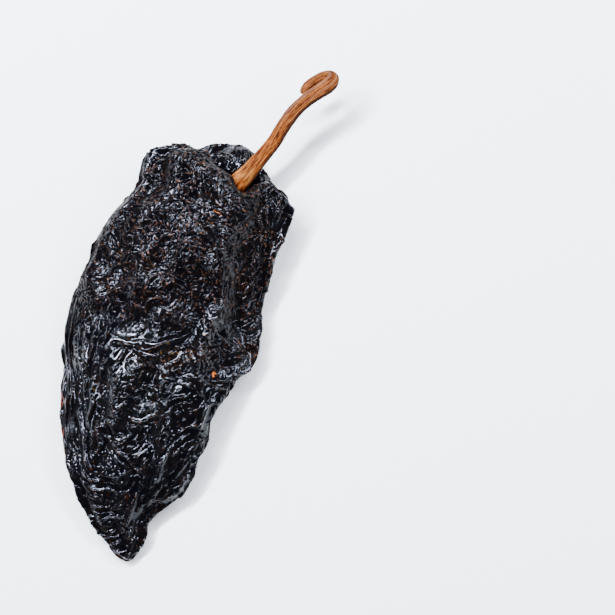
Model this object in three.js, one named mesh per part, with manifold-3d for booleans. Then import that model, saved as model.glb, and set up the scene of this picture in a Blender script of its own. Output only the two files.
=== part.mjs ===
// Ancho chili: a dried poblano pod lying on its flatter face, with its woody stem.
// Millimetres, +Z up. The pod lies along Y, its tip at -Y and its stem at +Y.
// Two pieces: the wrinkled pod, and the stem with the calyx at its foot.
import * as THREE from 'three';
import { mergeVertices } from 'three/addons/utils/BufferGeometryUtils.js';
import Module from 'manifold-3d';

// Pod outline seen from above, as [y, x] from the tip upward.
const LEFT_EDGE = [
  [-0.6, -1.3], [1.4, -5.0], [5, -9.6], [8.6, -13.6], [15.3, -19.4], [23.7, -23.5], [33, -27.8],
  [45.6, -30.7], [56.6, -33.6], [65.8, -34.0], [76.8, -32.4], [87.2, -30.2], [95.1, -27.6], [105, -21.4],
];
const RIGHT_EDGE = [
  [-0.6, 1.3], [1.8, 3.0], [7, 4.2], [12.8, 4.6], [15.8, 6.4], [18.9, 9.9], [22.8, 12.5], [28, 13.4],
  [36.7, 15.1], [44.6, 15.1], [51.5, 16.5], [57.4, 18.8], [61.7, 22.6], [65.6, 23.9], [70.1, 22.8],
  [77.1, 20.8], [86, 21.1], [93.9, 21.1], [99.4, 22.5], [105, 23.3],
];

// Height of the pod's middle plane, and how far its two faces stand from it, as [y, z].
const MIDDLE = [[-0.6, 2.6], [10, 4.2], [25, 5.8], [45, 7.1], [70, 8.2], [92, 9.4], [105, 10.0]];
const UPPER = [[-0.6, 1.2], [4, 2.8], [12, 4.4], [25, 6.4], [45, 8.2], [70, 9.4], [92, 10.2], [105, 9.8]];
const LOWER = [[-0.6, 1.1], [4, 2.6], [12, 4.0], [25, 5.9], [45, 7.5], [70, 8.9], [92, 9.9], [105, 9.8]];
const SECTION_PINCH = 0.94; // above 1 the two faces meet in a folded edge, below 1 in a round one
// How far the two side edges stand above the middle plane, as [y, z]: the dried pod is not flat.
const LEFT_LIFT = [[0, 0], [18, 1.2], [36, -1.4], [56, -2.6], [78, 0.4], [96, 1.6], [105, 0.4]];
const RIGHT_LIFT = [[0, 0], [14, -0.6], [30, 1.8], [46, 2.4], [62, -0.8], [78, -2.4], [92, 0.2], [105, 1.0]];
const FLANGE = { from: 52, full: 64, start: 0.42, end: 0.86, thin: 0.66 }; // thin flap along the right edge

// Shoulders: the pod rolls over its top edge into the hollow that holds the stem's foot.
const SHOULDER_START = 105;
// Rise above SHOULDER_START, as [degrees round the pod, rise]. 90 degrees faces up.
const SHOULDER_RISE = [
  [0, 5.2], [30, 8.2], [55, 9.0], [69, 5.2], [75, 4.9], [82, 6.8], [91, 8.8], [104, 10.3], [118, 11.0],
  [130, 12.5], [150, 13.8], [160, 12.4], [172, 11.3], [192, 10.6], [216, 10.8], [230, 12.2], [242, 15.6],
  [254, 18.3], [266, 18.9], [278, 18.3], [290, 17.6], [302, 15.2], [318, 9.4], [342, 5.6],
];
const SHOULDER_FULLNESS = 0.62; // below 1 the rolled edge is boxier than a half circle
const SHOULDER_SWELL = { left: 2.7, right: 1.0, up: 0.9 }; // how far the shoulders bulge over the body
// A lobe that rises past `over` also stands up, by `lift` per millimetre.
const BACK_LOBE = { over: 11.5, lift: 0.62 };
const HOLLOW = { x: 3.0, z: 9.2, halfWidth: 8.4, halfHeight: 3.3, floorY: 108.2 };
const ROLL_TURN = 0.9 * Math.PI; // the rolled edge stops short of a half turn, so the hollow narrows

// Where each stretch of the pod's length begins and ends, as a share of the way from tip to hollow floor.
const BODY_SHARE = 0.76;
const ROLL_SHARE = 0.92;
const POD_AROUND = 78;
const POD_ALONG = 71;

// Large creases pressed into the upper face, as paths of [x, y]. A negative depth is a raised ridge.
const UPPER_CREASES = [
  { path: [[-25.4, 102.4], [-21.6, 106.4], [-18.8, 110.6], [-16.4, 115.4]], width: 1.6, depth: 2.5 },
  { path: [[17, 106], [16.6, 102.5], [18.4, 96], [18.8, 91], [17.6, 86.5], [13.6, 77]],
    width: 1.5, depth: 2.3 },
  { path: [[-7.6, 99], [-3.6, 94.6], [-0.4, 91.5], [4.5, 86.4], [8, 83]], width: 1.9, depth: 1.7 },
  { path: [[-7.6, 99], [-9.4, 90], [-9.6, 80], [-7.6, 74]], width: 2.2, depth: 1.2 },
  { path: [[-18.5, 63.6], [-15.9, 61.2], [-12, 59.9], [-6.4, 59.8], [-3, 62], [1.6, 65.4]],
    width: 1.7, depth: 2 },
  { path: [[-3.6, 70], [-0.9, 72], [1.8, 74.5]], width: 2.9, depth: 2.2 },
  { path: [[-2.6, 35], [-4.9, 27], [-4.9, 22], [-3.4, 16], [-1.2, 10]], width: 1.6, depth: 1.5 },
  { path: [[14.5, 54], [9, 46], [4, 40], [-1, 33]], width: 1.5, depth: 1.3 },
  { path: [[13.6, 46.5], [9, 39.5], [4.5, 33], [2, 27]], width: 1.4, depth: 1.2 },
  { path: [[9.5, 62], [6.4, 55], [0.5, 48.5], [-5.5, 44]], width: 1.6, depth: 1.1 },
  { path: [[11.6, 73], [9.6, 67], [11.4, 60.5]], width: 1.6, depth: 1.2 },
  { path: [[-28, 76], [-28.2, 66], [-27, 55], [-24.6, 45]], width: 1.3, depth: 1.0 },
  { path: [[-23.6, 80], [-23.8, 68], [-22.6, 56], [-20.4, 46]], width: 1.4, depth: 1.0 },
  { path: [[-20, 95], [-17, 88], [-15.6, 80]], width: 1.7, depth: 1.0 },
  { path: [[-18, 38], [-13.6, 34.4], [-9.6, 35]], width: 1.7, depth: 1.1 },
  { path: [[-15, 24], [-11, 21.6], [-7.4, 23]], width: 1.3, depth: 0.8 },
  { path: [[13.2, 49.5], [12.2, 45.5], [10.8, 41.6]], width: 1.3, depth: -1.9 },
  { path: [[6.5, 100], [9.4, 94], [12.6, 88]], width: 1.5, depth: 1.1 },
  { path: [[-17, 52], [-12.6, 50.4], [-8.4, 52.4]], width: 1.6, depth: -1.1 },
];
// The lower face dried flat against its tray, with longer and softer folds.
const LOWER_CREASES = [
  { path: [[8, 104], [6, 92], [9, 78], [6, 64], [8, 52]], width: 2.0, depth: 2.0 },
  { path: [[-14, 106], [-12, 94], [-15, 82], [-13, 70]], width: 2.2, depth: 1.8 },
  { path: [[-20, 60], [-14, 50], [-12, 38], [-7, 26], [-3, 12]], width: 2.0, depth: 1.5 },
  { path: [[-4, 58], [1, 46], [3, 32], [3, 18]], width: 1.8, depth: 1.4 },
  { path: [[-26, 78], [-20, 74], [-12, 77]], width: 1.7, depth: 1.2 },
  { path: [[17, 96], [15.4, 84], [17, 72]], width: 1.8, depth: 1.3 },
  { path: [[-24, 92], [-20, 88], [-18, 80]], width: 1.7, depth: 1.2 },
];

// Pleats that gather towards the shoulders and towards the tip, and the ridges all over.
const TOP_PLEATS = { count: 11, depth: 0.95, reach: 26 };
const TIP_PLEATS = { count: 7, depth: 0.75, reach: 26 };
const RIDGES = [
  { wide: 15, long: 23, height: 1.9, seed: 7 },
  { wide: 6.6, long: 9.2, height: 1.4, seed: 3 },
  { wide: 4.4, long: 5.6, height: 0.85, seed: 11 },
];

// Stem: centre line from the calyx to its curled end, as [x, y, z].
const STEM_LINE = [
  [3.7, 107.6, 9.0], [4.6, 109.7, 9.6], [5.5, 112.0, 10.4], [7.1, 114.5, 11.4], [8.6, 117.3, 12.2],
  [10.1, 120.2, 13.0], [11.5, 123.0, 13.8], [12.8, 126.0, 14.6], [13.7, 129.1, 15.3], [14.8, 132.0, 16.0],
  [16.0, 134.7, 16.6], [17.5, 137.1, 17.2], [19.6, 139.8, 17.8], [21.7, 142.0, 18.2], [23.5, 143.9, 18.2],
  [24.6, 146.0, 17.2], [23.6, 147.3, 15.4], [21.6, 146.8, 14.2], [20.2, 145.6, 13.6], [18.7, 144.1, 13.4],
  [17.5, 142.5, 13.4], [17.3, 141.0, 13.8],
];
// Radius of the stem at a distance from its foot: calyx rim first, then the flared base and the curl.
const CALYX = { radius: 4.1, lobes: 5, lobeDepth: 0.42, underside: 0.35 };
const STEM_RADIUS = [
  [0.0, 4.1], [0.9, 4.15], [1.8, 3.5], [3.4, 3.1], [6, 2.9], [8.5, 2.72], [12.5, 2.4], [17.8, 2.16],
  [24.5, 2.02], [30, 2.0], [34, 1.92], [37, 2.0], [40.5, 2.1], [43.5, 2.15], [46, 1.85], [48, 1.55],
  [51, 1.4], [54, 1.38], [57.8, 1.25],
];
const STEM_RIBS = { count: 6, depth: 0.13 };
const STEM_AROUND = 18;
const STEM_ALONG = 66;
const SEAT_GAP = 0.3; // left between the calyx and the pod

const COLOURS = { pod: 0x1a1412, stem: 0xb07a45 };

const wasm = await Module();
wasm.setup();

// Smooth value of a table of [place, value] rows at any place between its ends.
function along(table, place) {
  const last = table.length - 1;
  if (place <= table[0][0]) return table[0][1];
  if (place >= table[last][0]) return table[last][1];
  let i = 0;
  while (table[i + 1][0] < place) i++;
  const slope = (k) => {
    const a = Math.max(k - 1, 0);
    const b = Math.min(k + 1, last);
    return (table[b][1] - table[a][1]) / (table[b][0] - table[a][0]);
  };
  const width = table[i + 1][0] - table[i][0];
  const t = (place - table[i][0]) / width;
  const rise = table[i + 1][1] - table[i][1];
  const curve = (slope(i) * (1 - t) - slope(i + 1) * t) * width - rise * (1 - 2 * t);
  return table[i][1] + rise * t + t * (1 - t) * curve;
}

// The same for a table that goes once round, in degrees.
function around(table, degrees) {
  const turned = [...table.slice(-2).map(([d, v]) => [d - 360, v]), ...table,
    ...table.slice(0, 2).map(([d, v]) => [d + 360, v])];
  return along(turned, ((degrees % 360) + 360) % 360);
}

const smooth = (low, high, x) => THREE.MathUtils.smoothstep(x, low, high);
const mix = (a, b, t) => a + (b - a) * t;

// Seeded random height in 0..1 at a lattice point, and its smooth blend between lattice points.
function latticeValue(i, j, k, seed) {
  const n = Math.sin(i * 127.1 + j * 311.7 + k * 74.7 + seed * 53.3) * 43758.5453;
  return n - Math.floor(n);
}

function blendedNoise(x, y, z, seed) {
  const [i, j, k] = [Math.floor(x), Math.floor(y), Math.floor(z)];
  const ease = (t) => t * t * (3 - 2 * t);
  const [u, v, w] = [ease(x - i), ease(y - j), ease(z - k)];
  const row = (b, c) => mix(latticeValue(i, b, c, seed), latticeValue(i + 1, b, c, seed), u);
  return mix(mix(row(j, k), row(j + 1, k), v), mix(row(j, k + 1), row(j + 1, k + 1), v), w);
}

// A net of raised ridges, about -0.5 in the hollows and 0.5 on the crests.
function ridgeNet({ wide, long, seed }, p) {
  const bend = 1.1 * blendedNoise(p.x / 14, p.y / 14, p.z / 14, seed + 1);
  const n = blendedNoise(p.x / wide + bend, p.y / long - bend, p.z / wide, seed);
  return 0.5 - 2 * Math.abs(n - 0.5);
}

// Depth of a list of creases at a point of one face. Each fades out towards both its ends.
function creaseDepth(creases, x, y) {
  let depth = 0;
  for (const { path, width, depth: full } of creases) {
    let nearest = Infinity;
    let share = 0;
    for (let i = 0; i < path.length - 1; i++) {
      const [ax, ay] = path[i];
      const [dx, dy] = [path[i + 1][0] - ax, path[i + 1][1] - ay];
      const t = THREE.MathUtils.clamp(((x - ax) * dx + (y - ay) * dy) / (dx * dx + dy * dy), 0, 1);
      const away = Math.hypot(x - ax - t * dx, y - ay - t * dy);
      if (away < nearest) [nearest, share] = [away, (i + t) / (path.length - 1)];
    }
    const ends = smooth(-0.02, 0.25, share) * smooth(-0.02, 0.25, 1 - share);
    depth += full * ends * Math.exp(-((nearest / width) ** 2));
  }
  return depth;
}

// A closed surface made from a sphere's grid: place(turn, share) puts each grid point, with turn
// going once round from 0 to 1 and share from one pole to the other.
function closedSurface(turns, steps, place) {
  const sphere = new THREE.SphereGeometry(1, turns, steps);
  const uv = sphere.attributes.uv;
  const position = sphere.attributes.position;
  for (let i = 0; i < position.count; i++) {
    const share = Math.round(uv.getY(i) * steps) / steps;
    const pole = share === 0 || share === 1;
    const turn = pole ? 0 : (Math.round(uv.getX(i) * turns) % turns) / turns;
    const p = place(turn, share);
    position.setXYZ(i, p.x, p.y, p.z);
  }
  sphere.deleteAttribute('normal');
  sphere.deleteAttribute('uv');
  const merged = mergeVertices(sphere, 1e-4);
  merged.computeVertexNormals();
  return merged;
}

// Angles that space points evenly round a flat oval section.
function evenAngles(count, flatness) {
  const fine = 2000;
  const lengths = [0];
  for (let i = 1; i <= fine; i++) {
    const a = ((i - 0.5) / fine) * 2 * Math.PI;
    lengths.push(lengths[i - 1] + Math.hypot(flatness * Math.sin(a), Math.cos(a)));
  }
  const angles = [];
  let j = 0;
  for (let i = 0; i < count; i++) {
    while (lengths[j] < (lengths[fine] * i) / count) j++;
    angles.push((j / fine) * 2 * Math.PI);
  }
  return angles;
}
const POD_ANGLES = evenAngles(POD_AROUND, 2.3);

// One point of the pod's plain form, before its creases and ridges.
function plainPodPoint(angle, share) {
  const [c, s] = share === 0 ? [0, 0] : [Math.cos(angle), Math.sin(angle)];
  const bodyPart = Math.min(share / BODY_SHARE, 1);
  const y = mix(-0.6, SHOULDER_START, bodyPart ** 1.12);
  const left = along(LEFT_EDGE, y);
  const right = along(RIGHT_EDGE, y);
  const flange = smooth(FLANGE.from, FLANGE.full, y) * smooth(FLANGE.start, FLANGE.end, c);
  const face = Math.sign(s) * Math.abs(s) ** SECTION_PINCH * (1 - FLANGE.thin * flange);
  const lift = c < 0 ? along(LEFT_LIFT, y) : along(RIGHT_LIFT, y);
  const outer = new THREE.Vector3(
    mix(left, right, (1 + c) / 2),
    y,
    along(MIDDLE, y) + lift * Math.abs(c) ** 1.6 + face * along(s > 0 ? UPPER : LOWER, y),
  );
  if (share <= BODY_SHARE) return outer;
  const inner = new THREE.Vector3(HOLLOW.x + HOLLOW.halfWidth * c, 0, HOLLOW.z + HOLLOW.halfHeight * s);
  const rise = around(SHOULDER_RISE, THREE.MathUtils.radToDeg(angle));
  const rolled = (roll) => {
    const inward = (1 - Math.cos(roll)) / 2;
    const bulge = Math.sin(Math.min(2 * roll, Math.PI));
    const sideways = c < 0 ? SHOULDER_SWELL.left : SHOULDER_SWELL.right;
    const standing = s < 0 ? BACK_LOBE.lift * Math.max(rise - BACK_LOBE.over, 0) * inward : 0;
    return new THREE.Vector3(
      mix(outer.x, inner.x, inward) + sideways * bulge * c,
      SHOULDER_START + rise * Math.sin(roll) ** SHOULDER_FULLNESS,
      mix(outer.z, inner.z, inward) + SHOULDER_SWELL.up * bulge * s + standing,
    );
  };
  if (share <= ROLL_SHARE) return rolled((ROLL_TURN * (share - BODY_SHARE)) / (ROLL_SHARE - BODY_SHARE));
  const rim = rolled(ROLL_TURN);
  const down = (share - ROLL_SHARE) / (1 - ROLL_SHARE);
  const floor = new THREE.Vector3(STEM_LINE[0][0], HOLLOW.floorY, STEM_LINE[0][2]);
  const shrink = Math.sqrt(1 - down * down);
  return new THREE.Vector3(
    mix(floor.x, rim.x, shrink),
    mix(rim.y, floor.y, Math.sin((down * Math.PI) / 2)),
    mix(floor.z, rim.z, shrink),
  );
}

// How far the skin stands out of the plain form at a point.
function podRelief(p, normal, angle, share) {
  const upper = smooth(-0.15, 0.35, normal.z);
  const lower = smooth(-0.15, 0.35, -normal.z);
  let out = -upper * creaseDepth(UPPER_CREASES, p.x, p.y);
  out -= lower * creaseDepth(LOWER_CREASES, p.x, p.y);
  const ridgeFade = smooth(0, 0.05, share) * (1 - smooth(ROLL_SHARE - 0.02, ROLL_SHARE + 0.05, share));
  for (const net of RIDGES) out += ridgeFade * net.height * ridgeNet(net, p);
  const topFold = Math.cos(TOP_PLEATS.count * angle + 2.2 * Math.sin(2 * angle));
  const nearTop = smooth(SHOULDER_START - TOP_PLEATS.reach, SHOULDER_START, p.y) * ridgeFade;
  out += TOP_PLEATS.depth * topFold * nearTop;
  const tipFold = Math.cos(TIP_PLEATS.count * angle + 1.3);
  const nearTip = (1 - smooth(4, TIP_PLEATS.reach, p.y)) * smooth(0, 0.06, share);
  out += TIP_PLEATS.depth * tipFold * nearTip * Math.min(1, p.y / 12);
  return out;
}

function makePodSurface() {
  const angleOf = (turn) => POD_ANGLES[Math.round(turn * POD_AROUND) % POD_AROUND];
  const plain = closedSurface(POD_AROUND, POD_ALONG, (turn, share) => plainPodPoint(angleOf(turn), share));
  const normals = new Map();
  const key = (p) => [p.x, p.y, p.z].map((v) => v.toFixed(3)).join(' ');
  const at = new THREE.Vector3();
  for (let i = 0; i < plain.attributes.position.count; i++) {
    at.fromBufferAttribute(plain.attributes.position, i);
    normals.set(key(at), new THREE.Vector3().fromBufferAttribute(plain.attributes.normal, i));
  }
  return closedSurface(POD_AROUND, POD_ALONG, (turn, share) => {
    const angle = angleOf(turn);
    const p = plainPodPoint(angle, share);
    const stored = new THREE.Vector3(...[p.x, p.y, p.z].map(Math.fround));
    const normal = normals.get(key(stored));
    p.addScaledVector(normal, podRelief(p, normal, angle, share));
    p.z = Math.max(p.z, 0);
    return p;
  });
}

// The stem as one closed sweep: up from the calyx's underside, over its rim, and along the stem.
function makeStemSurface(extra) {
  const points = STEM_LINE.map((p) => new THREE.Vector3(...p));
  const line = new THREE.CatmullRomCurve3(points, false, 'centripetal');
  const length = line.getLength();
  const fine = 400;
  const frames = line.computeFrenetFrames(fine, false);
  const undersideShare = 4 / STEM_ALONG;
  const endShare = 3 / STEM_ALONG;
  return closedSurface(STEM_AROUND, STEM_ALONG, (turn, share) => {
    let distance;
    let radius;
    if (share < undersideShare) {
      const out = share / undersideShare;
      distance = CALYX.underside * (out * out - 1) * 0.5;
      radius = CALYX.radius * Math.sin((out * Math.PI) / 2) * 0.98;
    } else {
      const t = Math.min((share - undersideShare) / (1 - undersideShare - endShare), 1);
      distance = length * mix(t * t, t, smooth(0, 0.35, t));
      radius = along(STEM_RADIUS, distance);
      if (share > 1 - endShare) {
        const past = (share - (1 - endShare)) / endShare;
        distance = length + 0.6 * Math.sin((past * Math.PI) / 2);
        radius *= Math.cos((past * Math.PI) / 2);
      }
    }
    const t = THREE.MathUtils.clamp(distance / length, 0, 1);
    const centre = line.getPointAt(t);
    const overrun = distance - t * length;
    const frame = Math.round(t * fine);
    centre.addScaledVector(line.getTangentAt(t), overrun + (distance < 0 || share === 0 ? -extra : 0));
    const angle = turn * 2 * Math.PI;
    const lobes = CALYX.lobeDepth * Math.cos(CALYX.lobes * angle) * (1 - smooth(1.0, 3.0, distance));
    const ribTurn = STEM_RIBS.count * angle + 0.05 * distance;
    const ribs = STEM_RIBS.depth * Math.cos(ribTurn) * smooth(1.5, 5, distance);
    const full = Math.max(radius + extra + (lobes + ribs) * Math.min(1, radius / 1.5), 0);
    const r = share === 0 || share === 1 ? 0 : full;
    return centre
      .addScaledVector(frames.normals[frame], r * Math.cos(angle))
      .addScaledVector(frames.binormals[frame], r * Math.sin(angle));
  });
}

// Solids for joining and cutting, and back to a mesh's geometry.
function toSolid(geometry) {
  const bare = geometry.clone();
  bare.deleteAttribute('normal');
  const merged = mergeVertices(bare, 1e-4);
  const triVerts = new Uint32Array(merged.index.array);
  const mesh = new wasm.Mesh({ numProp: 3, vertProperties: merged.attributes.position.array, triVerts });
  let solid = new wasm.Manifold(mesh);
  if (solid.volume() < 0) {
    for (let i = 0; i < triVerts.length; i += 3) {
      [triVerts[i + 1], triVerts[i + 2]] = [triVerts[i + 2], triVerts[i + 1]];
    }
    solid = new wasm.Manifold(
      new wasm.Mesh({ numProp: 3, vertProperties: merged.attributes.position.array, triVerts }),
    );
  }
  return solid;
}

function toGeometry(solid) {
  const { vertProperties, triVerts } = solid.getMesh();
  const geometry = new THREE.BufferGeometry();
  geometry.setAttribute('position', new THREE.BufferAttribute(new Float32Array(vertProperties), 3));
  geometry.setIndex(new THREE.BufferAttribute(new Uint32Array(triVerts), 1));
  geometry.computeVertexNormals();
  return geometry;
}

function makeMesh(name, solid, settings) {
  const mesh = new THREE.Mesh(toGeometry(solid), new THREE.MeshStandardMaterial(settings));
  mesh.name = name;
  return mesh;
}

const stemSolid = toSolid(makeStemSurface(0));
const podSolid = toSolid(makePodSurface()).subtract(toSolid(makeStemSurface(SEAT_GAP)));

const chili = new THREE.Group();
chili.add(makeMesh('pod', podSolid, { color: COLOURS.pod, roughness: 0.35, metalness: 0 }));
chili.add(makeMesh('stem', stemSolid, { color: COLOURS.stem, roughness: 0.75, metalness: 0 }));

// The origin is under the middle of the whole chili, on the surface that it lies on.
const box = new THREE.Box3().setFromObject(chili);
const middle = box.getCenter(new THREE.Vector3());
chili.position.set(-middle.x, -middle.y, -box.min.z);

export default chili;
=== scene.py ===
"""An ancho chili lying on a white surface: the dried, wrinkled pod and its curled woody stem."""

import math

import bpy
import numpy as np
from mathutils import Euler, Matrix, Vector
from mathutils.bvhtree import BVHTree


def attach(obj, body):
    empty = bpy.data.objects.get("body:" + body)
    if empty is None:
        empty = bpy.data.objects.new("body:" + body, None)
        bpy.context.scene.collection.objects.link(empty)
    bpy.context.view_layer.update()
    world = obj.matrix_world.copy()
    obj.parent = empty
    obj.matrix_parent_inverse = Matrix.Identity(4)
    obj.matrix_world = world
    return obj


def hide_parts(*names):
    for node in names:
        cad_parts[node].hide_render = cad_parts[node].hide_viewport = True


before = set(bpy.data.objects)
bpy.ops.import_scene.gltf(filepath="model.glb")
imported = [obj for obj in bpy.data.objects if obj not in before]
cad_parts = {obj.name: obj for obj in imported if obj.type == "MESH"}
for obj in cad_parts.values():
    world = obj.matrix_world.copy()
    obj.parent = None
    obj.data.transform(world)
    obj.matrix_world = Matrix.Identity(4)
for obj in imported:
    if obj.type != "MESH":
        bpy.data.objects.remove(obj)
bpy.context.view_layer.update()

MM = 0.001  # the script works in millimetres and scales each mesh once, when it is made
PICTURE_TURN = 14  # degrees by which the picture is turned against the pod

# The body under the skin.
COARSE = 0.46  # size of the quads that the broad folds form on; the fine folds have quads half as large
REMESH_TURN = (0.6, 0.45, 0.7)
PROBE = 9.0  # a thicker body counts as this thick
MIN_THICK = 1.5  # a thinner edge is filled out on both faces by half of what it lacks
FORM_ROUNDS = 10  # rounds of smoothing that take the facets off
STEP_SLOPE = (0.6, 0.85)  # the upright part of the normal where a step is steep, and where it isn't
STEP_HEIGHT = (10, 12)  # steps below this stay as they are
STEP_END = (26, 30)  # and so do those beyond this, at the hollow
STEP_BLEND = 6  # rounds of smoothing of the steps' borders
SLUMP_ROUNDS = 60  # rounds of smoothing of the steps themselves

# The wrinkles. A pair in a level is for the lower half and for the crumpled upper half.
LEVELS = [
    dict(
        refine=False, growth=(0.14, 0.07), one_way=(0.85, 0.6),
        firmness=((0.20, 0.40), (0.10, 0.25), (0.006, 0.01)),
        give=(0.6, 0.9), stiffness=(1.1, 1.1), steps=160, kick=0.06, blur=4, seed=1,
    ),
    dict(
        refine=True, growth=(0.50, 0.85), one_way=(0.75, 0.9),
        firmness=((0.32, 0.34), (0.18, 0.24), (0.008, 0.01)),
        give=(0.5, 0.6), stiffness=(0.42, 0.34), steps=140, kick=0.03, blur=2, seed=2,
    ),
]
DAMPING = 0.9
TIME_STEP = 0.12
GROWN_THICK = (0.5, 2.0)  # how thick the body is where the skin starts to grow, and where it fully does
RIM_CALM = 0.55  # how much less it grows at the rim of the lower half
TOP_CALM = 0.15  # how much less on the smooth parts of the top
EDGE_CALM = 0.8  # how much less on the long folds of the left edge
TAB_CALM = 0.9  # how much less on the small flat tab
SOFTEN = 0.6  # share of one round of smoothing that the lower half gets at the end

# The narrow ridges that the wrinkles of the lower half are drawn up into.
RIDGE_ROUNDS = (8, 30)  # rounds of smoothing that leave the near form and the far form
RIDGE_FLATTEN = 0.6
RIDGE_HEIGHT = 0.42
RIDGE_BAND = (0.02, 0.22)  # the relief where a ridge begins, and where it is full
RIDGE_EDGE_CALM = 0.7  # how much weaker ridges are on the long folds of the left edge

# Fold directions where no path is drawn: wave lengths, how far each wave turns them, and a seed.
WANDER_WAVES = 8
WANDER_LOWER = ((9.0, 22.0), 0.7, 3)
WANDER_UPPER = ((4.0, 10.0), 0.9, 4)
WANDER_SURE = (0.45, 0.95)  # how sure the directions are in the lower and in the upper half
RIM_PULL = 1.2  # how strongly folds follow the rim
RIM_HEIGHT = (9, 13)  # the height where that fades out
UNDERSIDE_PULL = 0.5  # how strongly folds run lengthwise below

# Folds seen on the upper face: each path, and how far its direction reaches.
FOLD_PATHS = [
    ([(-29.0, -10.2), (-28.0, -18.7), (-24.2, -33.9), (-20.3, -44.7), (-15.2, -53.7)], 4.0),
    ([(-25.0, -4.8), (-25.2, -13.6), (-22.0, -27.5), (-17.7, -41.1), (-13.1, -50.3)], 3.0),
    ([(-20.9, -9.6), (-20.5, -18.3), (-17.8, -32.4), (-15.8, -40.7)], 3.0),
    ([(-16.3, -11.4), (-17.8, -18.3), (-17.0, -23.9)], 2.5),
    ([(-10.3, -14.3), (-14.2, -18.5), (-14.2, -23.2)], 2.5),
    ([(16.3, -24.4), (11.3, -30.4), (6.9, -36.2), (2.8, -43.4)], 4.0),
    ([(16.0, -31.3), (10.1, -37.1), (6.1, -44.6), (4.4, -49.7)], 4.0),
    ([(-14.1, -53.2), (-9.2, -54.3), (-2.7, -51.8), (0.3, -48.4)], 3.0),
    ([(-11.5, -59.0), (-6.5, -61.5), (-2.4, -57.9)], 3.0),
    ([(-9.0, -63.1), (-4.3, -64.5), (-0.9, -60.4)], 3.0),
    ([(-5.5, -68.9), (-1.5, -69.7), (1.2, -67.6)], 2.5),
    ([(-6.2, -44.7), (-2.8, -46.8), (0.6, -48.6)], 2.5),
    ([(0.1, -51.4), (1.6, -59.8), (3.8, -69.6)], 2.0),
    ([(7.3, -49.6), (5.5, -58.8), (5.4, -67.7)], 3.0),
    ([(13.8, -42.7), (9.4, -52.0), (5.7, -57.3)], 4.0),
    ([(19.8, 35.8), (21.8, 28.9), (23.0, 21.9), (22.5, 14.4)], 3.0),
    ([(17.2, 30.7), (19.5, 24.0), (20.1, 16.8)], 2.0),
    ([(23.7, 11.8), (24.1, 4.5), (25.4, -5.4)], 2.5),
    ([(-18.5, 31.5), (-22.4, 24.7), (-25.1, 15.8), (-26.8, 7.1), (-28.1, -2.0)], 2.5),
    ([(-13.7, -12.5), (-8.9, -14.0), (-3.3, -14.3), (1.4, -11.7), (5.8, -8.2)], 2.5),
    ([(4.9, -4.7), (9.7, -6.4), (15.1, -8.0)], 2.5),
    ([(-3.0, 38.9), (-0.2, 33.7), (2.0, 28.4)], 3.0),
    ([(-10.6, 39.9), (-10.1, 34.2), (-9.4, 27.0)], 3.0),
    ([(-17.2, 36.8), (-16.9, 31.0)], 3.0),
]

# Places on the pod, as seen from above. A pair of numbers is where something begins to fade in or
# out, and where it has.
CRUMPLE_FADE = (-12, 4)  # along the pod, from its lower to its upper half
CRUMPLE_LEAN = 0.25  # how much higher that is for each millimetre to the right
LOBE_CREASE = ((-22.3, 28.3), (-13.3, 41.3))
LOBE_FADE = (-0.6, 1.2)
LOBE_FOOT = (24, 29)
HOLLOW_RIM = ((-3.5, 44.1), (9.5, 35.6))
HOLLOW_FADE = (-0.5, 0.8)
HOLLOW_HEIGHT = (12.0, 14.0)
TAB = {"middle": (14.0, -28.6), "turn": 85, "length": 7.8, "width": 2.9, "height": 1.0}
TAB_END_FADE = (-0.3, 0.4)
TAB_RIM_FADE = (0, 0.5)
TAB_FOOT_FADE = (-0.4, 0.2)
EDGE_PATH = [
    (-29.0, -2.0), (-29.0, -10.2), (-28.0, -18.7), (-24.2, -33.9), (-20.3, -44.7), (-15.2, -53.7),
]
EDGE_SPACING = 1.55
EDGE_DEPTH = 0.24
EDGE_OUTER, EDGE_INNER = (-3.0, -1.0), (7.0, 11.0)  # across the long folds
EDGE_LOW, EDGE_HIGH = (-50, -40), (-12, 0)  # along them
FLAP_LEFT, FLAP_LOW, FLAP_HIGH = (17.5, 21.5), (-17, -11), (-1, 4)
RED_STRETCHES = [(-51, -43), (-36.5, -33.5)]
RED_FADE = 2
RED_LEFT = (-19, -17)  # across the pod, where its left side ends
RED_TIP = (-73.6, -72.8)
RED_TIP_SHARE = 0.6

# Coloured spots on the skin, where it is thin, rubbed or torn: an x and a y, and the radius round them.
AMBER = [
    (-16.7, -28.9, 0.7), (0.6, -10.9, 1.0), (2.4, -13.3, 0.9), (-3.8, -14.2, 0.6), (-0.7, -13.9, 0.8),
    (7.7, -11.6, 0.7),
]
TAN = [
    (-4.6, -16.7, 2.2), (-0.6, -15.9, 2.2), (3.5, -14.6, 2.4), (7.4, -12.7, 2.2), (11.2, -10.6, 2.2),
    (25.8, -9.0, 3.4), (30.3, -11.0, 1.8), (23.1, -7.7, 2.4), (2.6, -68.0, 0.8),
]
BITS = [
    (15.1, -17.0, 0.5), (14.8, -16.4, 0.5), (14.9, -15.9, 0.45), (15.5, -16.2, 0.4), (10.0, -6.0, 0.45),
    (4.2, 28.3, 0.32), (4.8, 28.1, 0.32), (5.4, 28.0, 0.32), (6.0, 27.8, 0.32), (6.6, 27.5, 0.32),
    (6.3, 28.4, 0.3),
]

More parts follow.
